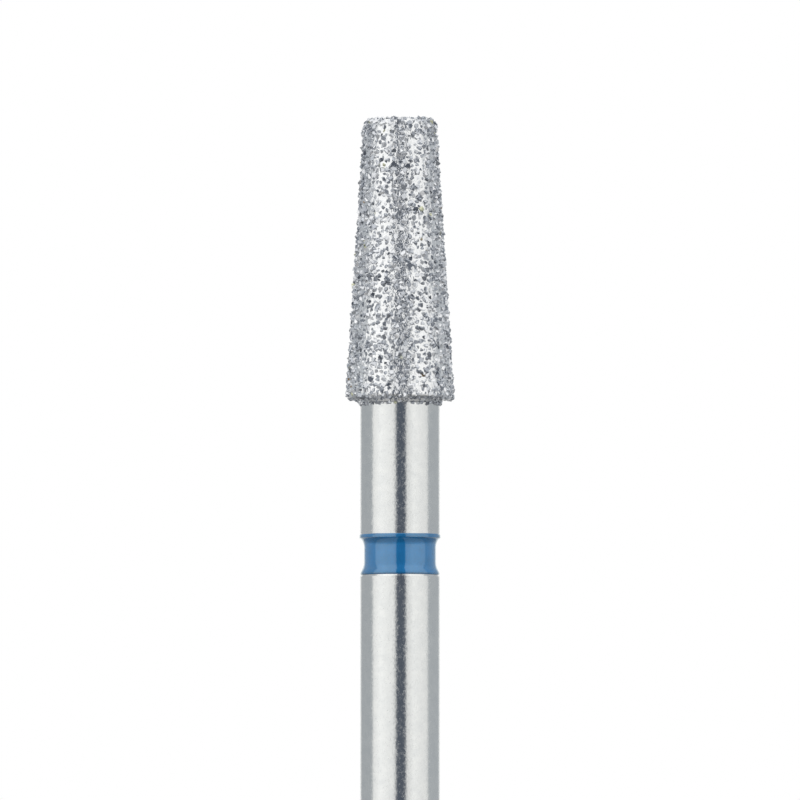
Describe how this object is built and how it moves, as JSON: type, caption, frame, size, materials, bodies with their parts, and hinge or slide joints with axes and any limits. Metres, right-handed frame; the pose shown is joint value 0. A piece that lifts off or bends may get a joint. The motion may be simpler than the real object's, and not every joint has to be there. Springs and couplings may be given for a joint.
{
  "type": "dental bur",
  "caption": "Diamond bur with a tapered flat-end head, a blue ring in a groove and a straight-handpiece shank, for grinding.",
  "frame": {"origin": "centre of the shank's flat end face, on the bur's axis", "axes": "+Z along the bur's axis from the shank to the head's flat end; X and Y are any two directions across it"},
  "size_m": [0.0032, 0.0032, 0.0445],
  "materials": {
    "steel": "fine-ground stainless steel, satin to bright",
    "diamond_grit": "clear to grey diamond grains standing out of bright electroplated nickel",
    "blue_lacquer": "glossy baked lacquer"
  },
  "bodies": {
    "root": {"steel_blank": "steel", "diamond_coating": "diamond_grit", "colour_ring": "blue_lacquer"}
  },
  "joints": []
}
